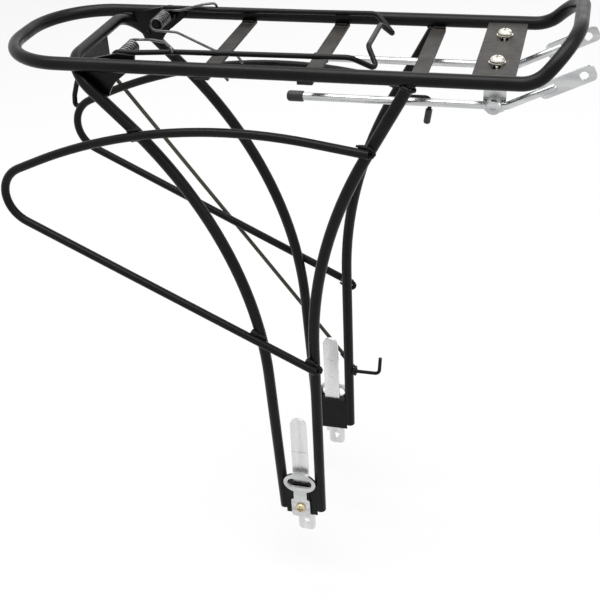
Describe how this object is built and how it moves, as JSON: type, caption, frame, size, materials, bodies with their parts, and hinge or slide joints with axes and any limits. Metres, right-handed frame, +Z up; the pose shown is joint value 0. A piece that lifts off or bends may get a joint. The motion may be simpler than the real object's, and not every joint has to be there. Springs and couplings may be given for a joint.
{
  "type": "bicycle rear luggage carrier",
  "caption": "Black steel-rod bicycle rear carrier with side hoops, sprung clamp, adjustable front stays and height-adjustable feet",
  "frame": {"origin": "midway between the two foot tabs, on the common axis of their eyelets", "axes": "+X to the bicycle's front, +Y to its left, +Z up"},
  "size_m": [0.4005, 0.1351, 0.4143],
  "materials": {
    "frame_paint": "satin black powder coat on steel rod",
    "strip_steel": "satin black powder coat on flat steel",
    "zinc": "bright zinc plated steel",
    "slider_steel": "bright stainless strip",
    "nickel": "nickel plated steel",
    "spring_steel": "plated spring wire",
    "black_plastic": "soft black vinyl",
    "brass_screw": "yellow passivated steel screw",
    "cord_fabric": "braided cover of an elastic cord",
    "hook_wire": "black coated wire"
  },
  "bodies": {
    "frame": {"platform_hoop": "frame_paint", "rear_leg_tube": "frame_paint", "cross_strip_rear": "strip_steel", "cross_strip_middle": "strip_steel", "cross_strip_front": "strip_steel", "front_plate": "strip_steel", "lamp_plate": "frame_paint", "lower_pump_hook": "frame_paint", "upper_pump_hook": "frame_paint", "upper_hook_tip": "black_plastic", "elastic_cord": "cord_fabric", "cord_hook": "hook_wire", "cord_ring": "hook_wire", "right_front_leg": "frame_paint", "right_side_hoop": "frame_paint", "right_gusset": "frame_paint", "right_pivot_pin": "frame_paint", "right_clamp_spring": "spring_steel", "right_foot_housing": "frame_paint", "right_foot_screw": "brass_screw", "left_front_leg": "frame_paint", "left_side_hoop": "frame_paint", "left_gusset": "frame_paint", "left_pivot_pin": "frame_paint", "left_clamp_spring": "spring_steel", "left_foot_housing": "frame_paint", "left_foot_screw": "brass_screw"},
    "clamp": {"clamp_frame": "frame_paint"},
    "right_bracket": {"right_stay_bracket": "zinc", "right_plate_bolt": "nickel", "right_plate_washer": "nickel", "right_plate_nut": "zinc"},
    "right_anchor": {"right_stay_anchor": "zinc", "right_anchor_washer": "zinc", "right_anchor_nut": "zinc"},
    "right_stay": {"right_stay": "zinc", "right_stay_cap": "black_plastic"},
    "right_foot": {"right_foot_slider": "slider_steel"},
    "right_ring": {"right_strap_ring": "zinc"},
    "left_bracket": {"left_stay_bracket": "zinc", "left_plate_bolt": "nickel", "left_plate_washer": "nickel", "left_plate_nut": "zinc"},
    "left_anchor": {"left_stay_anchor": "zinc", "left_anchor_washer": "zinc", "left_anchor_nut": "zinc"},
    "left_stay": {"left_stay": "zinc", "left_stay_cap": "black_plastic"},
    "left_foot": {"left_foot_slider": "slider_steel"},
    "left_ring": {"left_strap_ring": "zinc"}
  },
  "joints": [
    {"name": "clamp_hinge", "type": "hinge", "parent": "frame", "child": "clamp", "pos_m": [-0.11, 0, 0.3786], "axis": [0, -1, 0], "range_deg": [0, 100], "stiffness_Nm_per_rad": 0.6, "springref_deg": -28.65, "deforming": ["right_clamp_spring", "left_clamp_spring"]},
    {"name": "right_bracket_slide", "type": "slide", "parent": "frame", "child": "right_bracket", "axis": [0, -1, 0], "range_m": [-0.008, 0.008]},
    {"name": "right_stay_pitch", "type": "hinge", "parent": "right_bracket", "child": "right_anchor", "pos_m": [0.1315, -0.035, 0.3543], "axis": [0, -1, 0], "range_deg": [-6, 8]},
    {"name": "right_stay_slide", "type": "slide", "parent": "right_anchor", "child": "right_stay", "axis": [1, 0, 0], "range_m": [0, 0.08]},
    {"name": "right_foot_slide", "type": "slide", "parent": "frame", "child": "right_foot", "axis": [0, 0, 1], "range_m": [-0.05, 0]},
    {"name": "right_ring_swivel", "type": "hinge", "parent": "frame", "child": "right_ring", "pos_m": [-0.0027, -0.0605, 0.019], "axis": [0, 1, 0], "range_deg": [-25, 25]},
    {"name": "left_bracket_slide", "type": "slide", "parent": "frame", "child": "left_bracket", "axis": [0, 1, 0], "range_m": [-0.008, 0.008]},
    {"name": "left_stay_pitch", "type": "hinge", "parent": "left_bracket", "child": "left_anchor", "pos_m": [0.1315, 0.035, 0.3543], "axis": [0, -1, 0], "range_deg": [-6, 8]},
    {"name": "left_stay_slide", "type": "slide", "parent": "left_anchor", "child": "left_stay", "axis": [1, 0, 0], "range_m": [0, 0.08]},
    {"name": "left_foot_slide", "type": "slide", "parent": "frame", "child": "left_foot", "axis": [0, 0, 1], "range_m": [-0.05, 0]},
    {"name": "left_ring_swivel", "type": "hinge", "parent": "frame", "child": "left_ring", "pos_m": [-0.0027, 0.0605, 0.019], "axis": [0, 1, 0], "range_deg": [-25, 25]}
  ]
}
